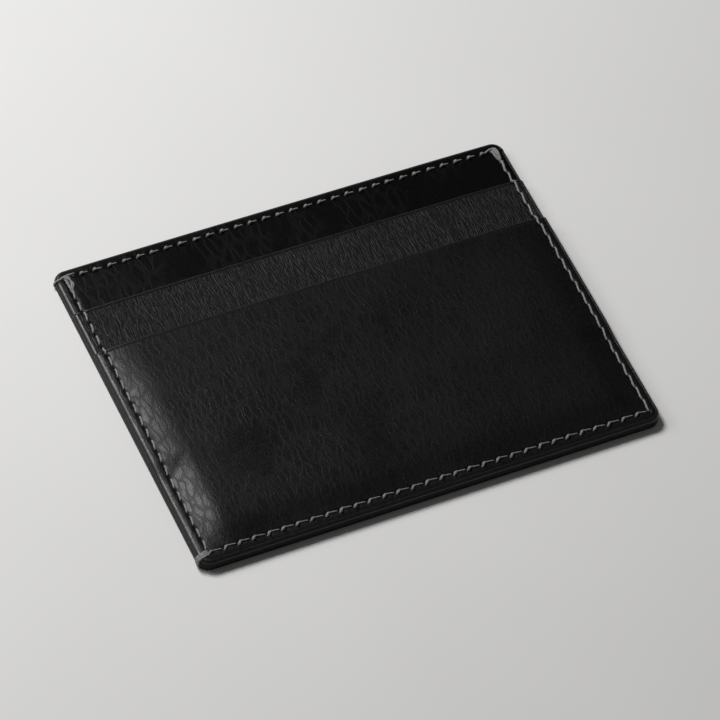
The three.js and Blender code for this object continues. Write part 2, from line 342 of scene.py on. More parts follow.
def grid_lines(low, high, fine_low, fine_high, fine=0.2, coarse=0.55, band=3.6):
    """Lines from low to high, close together within a band of each end that asks for it."""
    start = low + band if fine_low else low
    end = high - band if fine_high else high
    parts = [np.linspace(start, end, max(2, round((end - start) / coarse)))]
    if fine_low:
        parts.insert(0, np.linspace(low, start, round(band / fine), endpoint=False))
    if fine_high:
        parts.append(np.linspace(high, end, round(band / fine), endpoint=False)[::-1])
    return np.concatenate(parts)


def round_corners(x, y, half_x, half_y, radius, bottom=True, top=True):
    """Pulls the corner squares of a grid in to quarter discs."""
    u = (np.abs(x) - (half_x - radius)) / radius
    v = (np.abs(y) - (half_y - radius)) / radius
    wanted = (u > 0) & (v > 0) & np.where(y > 0, top, bottom)
    new_x = np.sign(x) * (half_x - radius + radius * u * np.sqrt(np.maximum(0, 1 - v * v / 2)))
    new_y = np.sign(y) * (half_y - radius + radius * v * np.sqrt(np.maximum(0, 1 - u * u / 2)))
    return np.where(wanted, new_x, x), np.where(wanted, new_y, y)


def leather_sheet(name, lines_x, lines_y, upper, lower, material, keep=None, corners=(True, True)):
    """A closed sheet on a grid. upper and lower give their faces' heights and pits."""
    flat_x, flat_y = np.meshgrid(lines_x, lines_y)
    x, y = round_corners(flat_x, flat_y, LEATHER_X, LEATHER_Y, CORNER - COAT, *corners)
    top, pit = upper(x, y)
    bottom, bottom_pit = lower(x, y)
    rows, columns = x.shape
    count = rows * columns
    points = np.concatenate([
        np.stack([x, y, top], -1).reshape(-1, 3),
        np.stack([x, y, bottom], -1).reshape(-1, 3),
    ])
    middle_x = (flat_x[:-1, :-1] + flat_x[1:, 1:]) / 2
    middle_y = (flat_y[:-1, :-1] + flat_y[1:, 1:]) / 2
    kept = np.ones(middle_x.shape, bool) if keep is None else keep(middle_x, middle_y)
    index = np.arange(count).reshape(rows, columns)
    corner_ids = np.stack([index[:-1, :-1], index[:-1, 1:], index[1:, 1:], index[1:, :-1]], -1)
    quads = corner_ids[kept]
    faces = [*quads.tolist(), *(quads[:, ::-1] + count).tolist()]
    sides = {}
    for a, b, c, d in quads.tolist():
        for edge in ((a, b), (b, c), (c, d), (d, a)):
            if (edge[1], edge[0]) in sides:
                del sides[(edge[1], edge[0])]
            else:
                sides[edge] = True
    sharp = []
    for a, b in sides:
        faces.append([b, a, a + count, b + count])
        sharp += [tuple(sorted((a, b))), (min(a, b) + count, max(a, b) + count)]
    used = np.unique(np.concatenate([np.asarray(face) for face in faces]))
    renumber = np.full(2 * count, -1)
    renumber[used] = np.arange(len(used))
    faces = [[int(renumber[i]) for i in face] for face in faces]
    sharp = [tuple(sorted((int(renumber[a]), int(renumber[b])))) for a, b in sharp]
    both = np.concatenate([pit.reshape(-1), bottom_pit.reshape(-1)])[used]
    return make_object(name, points[used], faces, material, sharp, both)


# The painted edges turn to their wall finish at this point of edge_section's profile.
WALL_START = 14


def sweep(name, path, profile, material, slot, *nodes, wall=None):
    """A closed bar along a path of (x, y, outward x, outward y, top), its section by profile(top).

    wall is the material from the section's WALL_START on, if it differs.
    """
    rings = []
    for x, y, out_x, out_y, top in path:
        rings.append([(x - out_x * d, y - out_y * d, z) for d, z in profile(top)])
    sides = len(rings[0])
    faces = []
    for i in range(len(rings) - 1):
        for j in range(sides):
            k = (j + 1) % sides
            faces.append([i * sides + j, i * sides + k, (i + 1) * sides + k, (i + 1) * sides + j])
    last = (len(rings) - 1) * sides
    faces.append(list(range(sides))[::-1])
    faces.append([last + j for j in range(sides)])
    points = np.array([point for ring in rings for point in ring])
    piece = make_object(name, points, faces, material)
    if wall:
        piece.data.materials.append(wall)
        run = [int(j >= WALL_START) for j in range(sides)] * (len(rings) - 1)
        piece.data.polygons.foreach_set("material_index", [*run, 0, 0])
    finish_piece(piece, slot, *nodes)
    return piece


# ---- Threads -------------------------------------------------------------------------------------
def smooth_path(points, step=STRAND_STEP):
    """Points along a Catmull-Rom curve through the given ones, which may carry a width."""
    p = np.array([points[0], *points, points[-1]], float)
    if p.shape[1] == 3:
        p = np.column_stack([p, np.ones(len(p))])
    out = []
    for i in range(1, len(p) - 2):
        a, b, c, d = p[i - 1 : i + 3]
        for t in np.linspace(0, 1, max(2, math.ceil(np.linalg.norm(c - b) / step)), endpoint=False):
            spline = 2 * b + (c - a) * t + (2 * a - 5 * b + 4 * c - d) * t**2
            out.append((spline + (3 * b - a - 3 * c + d) * t**3) / 2)
    out.append(p[-2])
    return np.array(out)


def thread_rings(path, radius, start_turn):
    """A two-ply twisted thread along a path: rings of points, carried along without twisting."""
    points, widths = path[:, :3], path[:, 3]
    tangents = np.gradient(points, axis=0)
    tangents /= np.linalg.norm(tangents, axis=1)[:, None]
    side = np.cross(tangents[0], (0.0, 0.0, 1.0))
    if np.linalg.norm(side) < 0.1:
        side = np.cross(tangents[0], (1.0, 0.0, 0.0))
    side /= np.linalg.norm(side)
    angles = np.linspace(0, 2 * math.pi, THREAD_SIDES, endpoint=False)
    travelled = 0.0
    rings = []
    for i, point in enumerate(points):
        side = side - tangents[i] * np.dot(side, tangents[i])
        side /= np.linalg.norm(side)
        up = np.cross(side, tangents[i])
        if i:
            travelled += np.linalg.norm(point - points[i - 1])
        turn = start_turn + 2 * math.pi * travelled / (2 * THREAD_LAY)
        share = min(i, len(points) - 1 - i) / max(1, len(points) - 1)
        thin = END_WIDTH + (1 - END_WIDTH) * min(1.0, share * END_TAPER)
        plies = PLY_WAIST + PLY_SWELL * np.abs(np.cos(angles - turn))
        swell = radius * widths[i] * thin * plies
        across, upward = np.cos(angles) * swell, np.sin(angles) * swell
        rings.append(point + np.outer(across, side) + np.outer(upward, up))
    return rings


def thread_piece(name, strands, material, *nodes, thick=1.0):
    """One piece of several strands, each a path with widths, as twisted closed tubes."""
    points, faces = [], []
    for strand in strands:
        rings = thread_rings(strand, THREAD_RADIUS * thick, random.uniform(0, math.pi))
        base = sum(len(p) for p in points)
        sides = len(rings[0])
        for i in range(len(rings) - 1):
            for j in range(sides):
                k = (j + 1) % sides
                a, b = base + i * sides, base + (i + 1) * sides
                faces.append([a + j, b + j, b + k, a + k])
        last = base + (len(rings) - 1) * sides
        faces.append([base + j for j in range(sides)])
        faces.append([last + j for j in range(sides)][::-1])
        points += rings
    piece = make_object(name, np.concatenate(points), faces, material)
    finish_piece(piece, "thread", *nodes)
    return piece


# Each style is the thread's way from one hole to the next: the share of the pitch, the distance
# to the left of the run, the height of the thread's middle over the leather, and its width as a
# share of the thread's own.
TOP_STITCH = (
    (0.40, -0.10, -0.45, 0.6), (0.44, -0.11, -0.06, 0.65), (0.60, -0.07, 0.05, 0.7),
    (0.76, 0.00, 0.10, 0.8), (0.87, 0.12, 0.32, 1.6), (0.94, 0.17, 0.28, 1.6), (0.99, 0.20, -0.30, 1.1),
)
BOTTOM_STITCH = (
    (0.00, -0.32, -0.30, 1.1), (0.03, -0.28, 0.12, 1.3), (0.12, -0.02, 0.30, 1.35),
    (0.22, 0.19, 0.22, 1.05), (0.40, 0.23, 0.06, 0.7), (0.70, 0.20, 0.00, 0.6),
    (0.84, 0.16, -0.08, 0.55), (0.90, 0.12, -0.45, 0.5),
)
LEFT_STITCH = (
    (0.06, 0.10, -0.40, 0.9), (0.11, 0.11, 0.04, 0.9), (0.30, 0.07, 0.17, 0.95),
    (0.52, -0.03, 0.16, 0.9), (0.70, -0.12, 0.05, 0.85), (0.76, -0.14, -0.40, 0.8),
)
RIGHT_STITCH = (
    (0.00, -0.10, -0.20, 0.8), (0.06, 0.10, 0.12, 0.9), (0.25, 0.15, 0.22, 0.95),
    (0.52, 0.02, 0.24, 0.9), (0.80, -0.14, 0.20, 0.9), (0.94, -0.16, 0.10, 0.9), (1.0, -0.08, -0.2, 0.8),
)


def front_stitch(start, end, style=TOP_STITCH):
    """One stitch on the front, out of one hole and into the next, a little uneven."""
    start, end = np.array(start), np.array(end)
    along = (end - start) / np.linalg.norm(end - start)
    left = np.array([-along[1], along[0]])
    lean = random.normal(1.0, LEAN_SPREAD)
    height = random.normal(1.0, HEIGHT_SPREAD)
    points = []
    for share, across, lift, width in style:
        x, y = start + (end - start) * share + left * across * lean
        ground = float(front_level(x, y)) - float(margin_drop(edge_distance(x, y), y))
        rise = lift * height if lift > 0 else lift
        points.append((x, y, ground + rise - SEAM_VALLEY * STITCH_SINK, width))
    return smooth_path(points, STITCH_STEP)


def back_stitch(start, end):
    """One stitch on the back: up into both holes, and just off the floor between them."""
    start, end = np.array(start), np.array(end)
    shares = np.linspace(0.0, 1.0, 11)
    xy = start + np.outer(shares, end - start)
    hump = np.sin(math.pi * shares) ** 0.45
    height = SUNK_HEIGHT - (SUNK_HEIGHT - THREAD_RADIUS - BACK_CLEARANCE) * hump
    return np.column_stack([xy, height, np.ones_like(height)])


def stitches(run, make, **options):
    """A stitch from each hole of a run to the next."""
    return [make(a, b, **options) for a, b in zip(run, run[1:])]


# ---- Materials -----------------------------------------------------------------------------------
class Shader:
    """A material's node tree, with short calls for the nodes that the finishes share."""

    def __init__(self, name):
        self.material = bpy.data.materials.new(name)
        self.material.use_nodes = True
        self.tree = self.material.node_tree
        self.surface = self.tree.nodes["Principled BSDF"]
        place = self.add("ShaderNodeTexCoord").outputs["Object"]
        self.place = self.scaled(place, (1 / MM, 1 / MM, 1 / MM))

    def add(self, kind, **settings):
        """A new node of that kind."""
        node = self.tree.nodes.new(kind)
        for key, value in settings.items():
            setattr(node, key, value)
        return node

    def feed(self, socket, value):
        """Links a socket to another node's output, or sets it to a plain value."""
        if isinstance(value, bpy.types.NodeSocket):
            self.tree.links.new(value, socket)
        else:
            socket.default_value = value

    def scaled(self, vector, scale, turn=0.0):
        """A place stretched by scale and turned about Z."""
        mapping = self.add("ShaderNodeMapping")
        self.feed(mapping.inputs["Vector"], vector)
        mapping.inputs["Scale"].default_value = scale
        mapping.inputs["Rotation"].default_value = (0, 0, turn)
        return mapping.outputs["Vector"]

    def math(self, operation, a, b=0.0, c=0.0):
        """The result of one sum on sockets or numbers."""
        node = self.add("ShaderNodeMath", operation=operation)
        for socket, value in zip(node.inputs, (a, b, c)):
            self.feed(socket, value)
        return node.outputs[0]

    def noise(self, vector, scale, detail=2.0, roughness=0.5):
        """A smooth noise between 0 and 1."""
        node = self.add("ShaderNodeTexNoise")
        self.feed(node.inputs["Vector"], vector)
        node.inputs["Scale"].default_value = scale
        node.inputs["Detail"].default_value = detail
        node.inputs["Roughness"].default_value = roughness
        return node.outputs["Fac"]

    def warped(self, vector, scale, amount):
        """A place moved about by a noise, so that a pattern on it wanders."""
        node = self.add("ShaderNodeTexNoise")
        self.feed(node.inputs["Vector"], vector)
        node.inputs["Scale"].default_value = scale
        centred = self.add("ShaderNodeVectorMath", operation="SUBTRACT")
        self.feed(centred.inputs[0], node.outputs["Color"])
        centred.inputs[1].default_value = (0.5, 0.5, 0.5)
        grown = self.add("ShaderNodeVectorMath", operation="SCALE")
        self.feed(grown.inputs[0], centred.outputs[0])
        grown.inputs["Scale"].default_value = amount
        total = self.add("ShaderNodeVectorMath", operation="ADD")
        self.feed(total.inputs[0], vector)
        self.feed(total.inputs[1], grown.outputs[0])
        return total.outputs[0]

    def cells(self, vector, width):
        """0 on the borders between cells and 1 inside them, with borders of that width."""
        node = self.add("ShaderNodeTexVoronoi", feature="DISTANCE_TO_EDGE")
        self.feed(node.inputs["Vector"], vector)
        node.inputs["Scale"].default_value = 1.0
        return self.ramp(node.outputs["Distance"], 0.0, width)

    def ramp(self, value, low, high, to_low=0.0, to_high=1.0):
        """to_low below low and to_high above high, with a smooth step between them."""
        node = self.add("ShaderNodeMapRange", interpolation_type="SMOOTHSTEP")
        self.feed(node.inputs["Value"], value)
        limits = {"From Min": low, "From Max": high, "To Min": to_low, "To Max": to_high}
        for socket, number in limits.items():
            node.inputs[socket].default_value = number
        return node.outputs["Result"]

    def mix_colour(self, share, a, b):
        """Colour a where share is 0 and colour b where it is 1."""
        node = self.add("ShaderNodeMix", data_type="RGBA")
        self.feed(node.inputs["Factor"], share)
        colours = [socket for socket in node.inputs if socket.type == "RGBA"]
        for socket, value in zip(colours, (a, b)):
            self.feed(socket, (*value, 1) if isinstance(value, tuple) else value)
        return [socket for socket in node.outputs if socket.type == "RGBA"][0]

    def bump(self, height_mm):
        """Takes the surface's fine relief from a height in millimetres."""
        node = self.add("ShaderNodeBump")
        node.inputs["Strength"].default_value = 1.0
        node.inputs["Distance"].default_value = MM
        self.feed(node.inputs["Height"], height_mm)
        self.tree.links.new(node.outputs["Normal"], self.surface.inputs["Normal"])

    def set(self, name, value):
        """Feeds one of the surface's own sockets."""
        self.feed(self.surface.inputs[name], value)


# Scales are in features a millimetre, and turns about Z are in radians.
BEND_SCALE = 0.32
CRUMPLE_SCALE = 2.2
CRUMPLE_SHARE = 0.16
VEIN_FLATTEN = 0.2
VEIN_TURN = 0.14
VEIN_BORDER = 0.22
PATCH_SCALE = 0.09
PATCH_RANGE = (0.62, 0.75)
PATCH_SHARE = 0.35
GRAIN_TURN = 0.05
GRAIN_BORDER = 0.3
PORE_STRETCH = (1.0, 0.55, 1.0)
PORE_SCALE = 7.0
PORE_DEPTH = 0.9
STREAK_STRETCH = (1.0, 0.11, 0.3)
STREAK_TURN = 0.1
STREAK_SCALE = 2.4
CLOUD_SCALE = 0.05
CLOUD_TONE = 0.4
CLOUD_ROUGHNESS = 0.16
GRAIN_TONE = 0.6
VEIN_ROUGHNESS = 0.12
PIT_ROUGHNESS = 0.4
FINE_DETAIL = 0.6
# The near black that the painted shade in holes, creases and vein grooves goes towards.
PAINTED_SHADE_BLACK = (0.0012, 0.0012, 0.0012)


def leather(name, dark, light, roughness, gloss, veins, grain, streaks=0.0, bend=2.2):
    """Black leather: stretched veins along Y, a fine pebbled grain, pores and streaks.

    veins is (cells a mm across, cells a mm along, depth in mm, share of the skin that has them,
    share of the colour that they take away as painted shade in their grooves), grain is (cells a
    mm across, cells a mm along, depth in mm), streaks is a depth in mm, and bend is how far the
    veins wander in mm. The holes and creases in the pit attribute are painted darker as shade too.
    """
    s = Shader(name)
    vein_across, vein_along, vein_depth, vein_share, vein_shade = veins
    grain_across, grain_along, grain_depth = grain
    bent = s.warped(s.place, BEND_SCALE, bend)
    crumpled = s.warped(bent, CRUMPLE_SCALE, CRUMPLE_SHARE * bend)

    stretched = s.scaled(crumpled, (vein_across, vein_along, VEIN_FLATTEN), VEIN_TURN)
    vein = s.cells(stretched, VEIN_BORDER)
    low, high = (limit - vein_share * PATCH_SHARE for limit in PATCH_RANGE)
    patches = s.ramp(s.noise(s.place, PATCH_SCALE, 1.0), low, high)
    vein_cut = s.math("MULTIPLY", s.math("SUBTRACT", 1.0, vein), patches)
    pebble = s.cells(s.scaled(crumpled, (grain_across, grain_along, 1.0), GRAIN_TURN), GRAIN_BORDER)
    pores = s.noise(s.scaled(bent, PORE_STRETCH), PORE_SCALE, 3.0, FINE_DETAIL)
    streak = s.noise(s.scaled(bent, STREAK_STRETCH, STREAK_TURN), STREAK_SCALE, 2.0, FINE_DETAIL)

    height = s.math("MULTIPLY", vein_cut, -vein_depth)
    height = s.math("MULTIPLY_ADD", pebble, grain_depth, height)
    height = s.math("MULTIPLY_ADD", pores, grain_depth * PORE_DEPTH, height)
    height = s.math("MULTIPLY_ADD", streak, streaks, height)
    s.bump(height)

    pit = s.add("ShaderNodeAttribute", attribute_name="pit").outputs["Fac"]
    cloud = s.noise(s.place, CLOUD_SCALE, 3.0, FINE_DETAIL)
    tone = s.math("MULTIPLY_ADD", pebble, GRAIN_TONE, s.math("MULTIPLY", cloud, CLOUD_TONE))
    # Needle holes and mouth creases (pit) and the vein grooves are mixed towards near black: painted
    # shade.
    shade = s.math("MAXIMUM", pit, s.math("MULTIPLY", vein_cut, vein_shade))
    s.set("Base Color", s.mix_colour(shade, s.mix_colour(tone, dark, light), PAINTED_SHADE_BLACK))
    rough = s.math("MULTIPLY_ADD", cloud, CLOUD_ROUGHNESS, roughness - CLOUD_ROUGHNESS / 2)
    rough = s.math("MULTIPLY_ADD", vein_cut, VEIN_ROUGHNESS, rough)
    s.set("Roughness", s.math("MULTIPLY_ADD", pit, PIT_ROUGHNESS, rough))
    s.set("Specular IOR Level", gloss)
    return s.material


RIPPLE_SCALE = 1.1
RIPPLE_DEPTH = 0.035
LAYER_STRETCH = (0.05, 0.05, 2.4)
LAYER_DEPTH = 0.05
PAINT_DARK = (0.004, 0.004, 0.004)
PAINT_LIGHT = (0.012, 0.011, 0.011)


def painted_edge(name, low, high, gloss):
    """Burnished edge paint, slightly rippled along the edge, with the layers just felt."""
    s = Shader(name)
    ripple = s.noise(s.place, RIPPLE_SCALE, 3.0, 0.55)
    layers = s.noise(s.scaled(s.place, LAYER_STRETCH), 1.0, 1.0)
    rippled = s.math("MULTIPLY", ripple, RIPPLE_DEPTH)
    s.bump(s.math("MULTIPLY_ADD", layers, LAYER_DEPTH, rippled))
    s.set("Base Color", s.mix_colour(ripple, PAINT_DARK, PAINT_LIGHT))
    s.set("Roughness", s.ramp(ripple, 0.3, 0.7, low, high))
    s.set("Specular IOR Level", gloss)
    return s.material


FIBRE_STRETCH = (3.0, 3.0, 3.0)
FIBRE_SCALE = 4.0
FIBRE_DEPTH = 0.04
SOIL_SCALE = 0.25
THREAD_DARK = (0.096, 0.093, 0.093)
THREAD_LIGHT = (0.27, 0.261, 0.261)
THREAD_SOIL = (0.09, 0.087, 0.085)


def waxed_thread():
    """Light grey waxed thread with fine fibres and a little soiling."""
    s = Shader("waxed_thread")
    fibres = s.noise(s.scaled(s.place, FIBRE_STRETCH), FIBRE_SCALE, 3.0, 0.7)
    soil = s.ramp(s.noise(s.place, SOIL_SCALE, 2.0), 0.45, 0.75, 0.0, 0.5)
    clean = s.mix_colour(fibres, THREAD_DARK, THREAD_LIGHT)
    s.set("Base Color", s.mix_colour(soil, clean, THREAD_SOIL))
    s.bump(s.math("MULTIPLY", fibres, FIBRE_DEPTH))
    s.set("Roughness", s.ramp(fibres, 0.2, 0.8, 0.45, 0.65))
    s.set("Sheen Weight", 0.2)
    return s.material


MOTTLE_SCALE = 0.02
FLOOR_DARK = (0.66, 0.655, 0.645)
FLOOR_LIGHT = (0.7, 0.695, 0.685)


def pale_floor():
    """A plain, pale and matt floor."""
    s = Shader("pale_floor")
    mottle = s.noise(s.place, MOTTLE_SCALE, 3.0)
    s.set("Base Color", s.mix_colour(mottle, FLOOR_DARK, FLOOR_LIGHT))
    s.set("Roughness", 0.75)
    s.set("Specular IOR Level", 0.2)
    return s.material


POCKET_SKIN = leather(
    "pocket_leather",
    dark=(0.0008, 0.0008, 0.0008),
    light=(0.0098, 0.0091, 0.0094),
    roughness=0.335,
    gloss=0.17,
    veins=(0.75, 0.24, 0.013, 0.9, 0.8),
    grain=(2.2, 1.7, 0.009),
)
T_SKIN = leather(
    "t_pocket_leather",
    dark=(0.0007, 0.0006, 0.0006),
    light=(0.0079, 0.0074, 0.0075),
    roughness=0.46,
    gloss=0.16,
    veins=(2.4, 0.24, 0.065, 1.0, 0.9),
    grain=(2.9, 0.9, 0.012),
    streaks=0.1,
    bend=0.8,
)
BODY_SKIN = leather(
    "body_leather",
    dark=(0.0005, 0.0005, 0.0005),
    light=(0.0034, 0.0032, 0.0032),
    roughness=0.33,
    gloss=0.09,
    veins=(0.5, 0.2, 0.022, 0.6, 0.3),
    grain=(2.6, 2.0, 0.007),
)
BACK_SKIN = leather(
    "back_leather",
    dark=(0.0008, 0.0008, 0.0008),
    light=(0.0098, 0.0091, 0.0094),
    roughness=0.38,
    gloss=0.17,
    veins=(0.8, 0.26, 0.014, 0.8, 0.7),
    grain=(2.3, 1.8, 0.010),
)
LINING_SKIN = leather(
    "lining_leather",
    dark=(0.010, 0.0095, 0.0092),
    light=(0.02, 0.0185, 0.018),
    roughness=0.7,
    gloss=0.2,
    veins=(0.9, 0.9, 0.015, 0.5, 0.3),
    grain=(4.0, 4.0, 0.015),
)
EDGE_PAINT = painted_edge("edge_paint", low=0.34, high=0.44, gloss=0.36)
EDGE_WALL = painted_edge("edge_wall", low=0.5, high=0.62, gloss=0.13)
THREAD_SKIN = waxed_thread()


# ---- Panels --------------------------------------------------------------------------------------
def pocket_upper(x, y):
    """The front pocket's upper face and its pits."""
    dip, pit = seam_dip(x, y)
    mouth, edge = POCKET_MOUTH - y, edge_distance(x, y)
    crease = creased(mouth)
    drop = edge_fall(edge, y) + rolled(mouth, POCKET_MOUTH_ROLL) + CREASE_DEPTH * crease + dip
    # The crease joins the pits, and the leather paints both darker: painted shade.
    return pocket_face(x, y) - drop + waves(x, y, 0.03), np.maximum(pit, CREASE_SHADE * crease)


def t_upper(x, y):
    """The T-pocket's upper face and its pits, kept below the front pocket."""
    dip, pit = seam_dip(x, y)
    mouth, edge = T_MOUTH - y, edge_distance(x, y)
    crease = creased(mouth)
    drop = edge_fall(edge, y) + rolled(mouth, T_MOUTH_ROLL) + CREASE_DEPTH * crease + dip
    free = t_face(x, y) - drop + waves(x + 30, y, 0.02)
    below = pocket_upper(x, y)[0] - PANEL - LAP
    height = np.where(y < POCKET_MOUTH - MOUTH_OVERLAP, np.minimum(free, below), free)
    # The crease joins the pits, and the leather paints both darker: painted shade.
    return height, np.maximum(pit, CREASE_SHADE * crease)


def body_upper(x, y):
    """The front body panel's upper face and its pits."""
    dip, pit = seam_dip(x, y)
    edge = edge_distance(x, y)
    drop = edge_fall(edge, y) + dip
    return body_face(x, y) - drop + waves(x, y + 20, 0.015), pit


def back_lower(x, y):
    """The back panel's outer face, with deeper valleys than the front's."""
    dip, pit = seam_dip(x, y, BACK_VALLEY)
    return rolled(edge_distance(x, y), BACK_ROLL) + dip, pit


def plain(height):
    """A face without seams or pits."""
    return lambda x, y: (height(x, y) + 0 * x, 0 * x)


def t_shape(x, y):
    """True on the T-pocket: its body, and its arms above their lower edge."""
    return (np.abs(x) < T_HALF) | (y > ARM_END)


def make_panels():
    """The leather panels and the front lining, from the outermost down."""
    across = grid_lines(-LEATHER_X, LEATHER_X, True, True)
    upward = grid_lines(-LEATHER_Y, POCKET_MOUTH - MOUTH_EASE, True, True, fine=0.14, band=3.0)
    under = plain(lambda x, y: pocket_upper(x, y)[0] - PANEL)
    pocket = leather_sheet(
        "front_pocket", across, upward, pocket_upper, under, POCKET_SKIN, corners=(True, False)
    )
    finish_piece(pocket, "pocket_leather", "front_pocket_panel")

    fine_from = POCKET_MOUTH - T_FINE_RUN
    hidden = np.linspace(T_BOTTOM, fine_from, 40, endpoint=False)
    upward = np.concatenate([hidden, np.linspace(fine_from, T_MOUTH - MOUTH_EASE, 92)])
    under = plain(lambda x, y: body_face(x, y) - T_SINK)
    t_pocket = leather_sheet(
        "t_pocket", across, upward, t_upper, under, T_SKIN, keep=t_shape, corners=(False, False)
    )
    finish_piece(t_pocket, "matt_leather", "t_pocket_panel")

    upward = grid_lines(-LEATHER_Y, LEATHER_Y, True, True)
    under = plain(lambda x, y: body_face(x, y) - PANEL)
    body = leather_sheet("front_body", across, upward, body_upper, under, BODY_SKIN)
    finish_piece(body, "body_leather", "front_body_panel")

    top = plain(lambda x, y: np.full_like(x, BACK_TOP))
    back = leather_sheet("back_leather", across, upward, top, back_lower, BACK_SKIN)
    finish_piece(back, "body_leather", "back_panel")

    across = grid_lines(-LEATHER_X, LEATHER_X, True, True, fine=0.6, coarse=3)
    upward = grid_lines(-LEATHER_Y, LEATHER_Y, True, True, fine=0.6, coarse=3)
    over = plain(lambda x, y: body_face(x, y) - PANEL)
    under = plain(lambda x, y: body_face(x, y) - BODY_TOP + BACK_LINING_TOP)
    lining = leather_sheet("front_lining", across, upward, over, under, LINING_SKIN)
    finish_piece(lining, "lining", "body_lining")


# ---- Edges ---------------------------------------------------------------------------------------
HOOK = 0.1
HOOK_DEPTH = 0.4
BOTTOM_HOOK_DEPTH = 0.3
TUCK = 0.05
STEP_ABOVE = 0.05
STEP_BELOW = 0.3


def side_top(y):
    """The top of the layers along a side or along the bottom."""
    arms = ease(ARM_END - DRAPE_RUN, ARM_END, y)
    level = BODY_TOP + T_LEATHER * ease(T_MOUTH + STEP_ABOVE, T_MOUTH - STEP_BELOW, y)
    pocket = BODY_TOP + PANEL + T_LEATHER * arms
    return level + (pocket - level) * ease(POCKET_MOUTH + STEP_ABOVE, POCKET_MOUTH - STEP_BELOW, y)


def corner_arc(centre_x, centre_y, start, stop, steps=14):
    """Points round a corner of the outline, each with its outward direction."""
    angles = np.radians(np.linspace(start, stop, steps))
    return [
        (centre_x + CORNER * math.cos(a), centre_y + CORNER * math.sin(a), math.cos(a), math.sin(a))
        for a in angles
    ]


def side_path():
    """Down the left side, along the bottom and up the right side."""
    cx, cy = HALF_X - CORNER, HALF_Y - CORNER
    down = np.linspace(cy, -cy, 360)[:-1]
    along = np.linspace(-cx, cx, 160)[1:-1]
    points = [(-HALF_X, y, -1.0, 0.0) for y in down]
    points += corner_arc(-cx, -cy, 180, 270)
    points += [(x, -HALF_Y, 0.0, -1.0) for x in along]
    points += corner_arc(cx, -cy, 270, 360)
    points += [(HALF_X, y, 1.0, 0.0) for y in down[::-1]]
    return [(*p, float(side_top(p[1]))) for p in points]


def top_path(level):
    """Round the two top corners and along the top edge."""
    cx, cy = HALF_X - CORNER, HALF_Y - CORNER
    points = corner_arc(cx, cy, 0, 90)
    points += [(x, HALF_Y, 0.0, 1.0) for x in np.linspace(cx, -cx, 160)[1:-1]]
    points += corner_arc(-cx, cy, 90, 180)
    return [(*p, float(level(p[0], p[1]))) for p in points]


def edge_section(bottom_of, top_radius, bottom_radius, reach, skin=0.03, bulge=0.05, fall=None):
    """The section of a painted edge: rolled over at the top and bottom, and full between.

    fall is how far the face beside it has dropped towards the edge, none for a square-cut mouth.
    The section starts and ends in hooks inside the leather, reach in from the edge.
    """

    def dropped(d):
        if fall is None:
            return 0.0
        return fall * min(FALL_LIMIT, max(0.0, 1 - d / MARGIN)) ** 2 + float(bevel(d))

    def profile(top):
        bottom = bottom_of(top)
        section = [
            (reach + HOOK, top - HOOK_DEPTH - dropped(reach)),
            (reach, top - TUCK - dropped(reach)),
        ]
        for d in np.linspace(reach - 0.04, top_radius + LAP, 5):
            section.append((d, top + skin - dropped(d)))
        for a in np.radians(np.linspace(2, 90, 9)):
            r = top_radius + skin
            d = top_radius - r * math.sin(a)
            section.append((d, top - top_radius + r * math.cos(a) - dropped(d)))
        high, low = section[-1][1], bottom + bottom_radius
        for share in (0.25, 0.5, 0.75):
            section.append((-skin - bulge * math.sin(math.pi * share), high + (low - high) * share))
        for a in np.radians(np.linspace(90, 12, 8)):
            r = bottom_radius + skin
            z = max(bottom, bottom + bottom_radius - r * math.cos(a))
            section.append((bottom_radius - r * math.sin(a), z))
        section += [(reach, bottom + TUCK), (reach + HOOK, bottom + BOTTOM_HOOK_DEPTH)]
        return section

    return profile


def make_edges():
    """The painted edges: round the sides and bottom, along both tops, and at the two mouths."""
    side = edge_section(lambda top: 0.0, EDGE_ROLL, BACK_ROLL, PAINT_REACH, fall=MARGIN_DROP)
    sweep("side_edge", side_path(), side, EDGE_PAINT, "edge_coat", "side_edge_coat", wall=EDGE_WALL)

    half = BODY_TOP - BACK_LINING_TOP
    front = edge_section(
        lambda top: top - half + LAP, EDGE_ROLL, 0.2, PAINT_REACH, fall=TOP_MARGIN_DROP
    )
    path, coat = top_path(body_face), "front_top_edge_coat"
    sweep("front_top_edge", path, front, EDGE_PAINT, "edge_coat", coat, wall=EDGE_WALL)

    rear = edge_section(lambda top: 0.0, 0.2, BACK_ROLL, 0.5)
    path = top_path(lambda x, y: BACK_LINING_TOP - LAP)
    sweep("back_top_edge", path, rear, EDGE_PAINT, "edge_coat", "back_top_edge_coat")

    side_end = LEATHER_X - MOUTH_OVERLAP
    places = grid_lines(-side_end, side_end, True, True)
    mouths = (
        ("t_mouth_edge", T_MOUTH, t_face, T_LEATHER, 0.2, "t_mouth_edge_coat"),
        ("pocket_mouth_edge", POCKET_MOUTH, pocket_face, PANEL, 0.28, "pocket_mouth_edge_coat"),
    )
    for name, mouth, face, thickness, radius, node in mouths:
        inner = np.full_like(places, mouth - MOUTH_OVERLAP)
        edge = edge_distance(places, inner)
        drop = edge_fall(edge, inner) + seam_dip(places, inner)[0]
        tops = face(places, inner) - drop
        path = [(x, mouth, 0.0, 1.0, float(z)) for x, z in zip(places[::-1], tops[::-1])]
        section = edge_section(
            lambda top, t=thickness: top - t + LAP, radius, 0.12, reach=0.36, skin=0.02, bulge=0.02
        )
        sweep(name, path, section, EDGE_PAINT, "edge_coat", node)


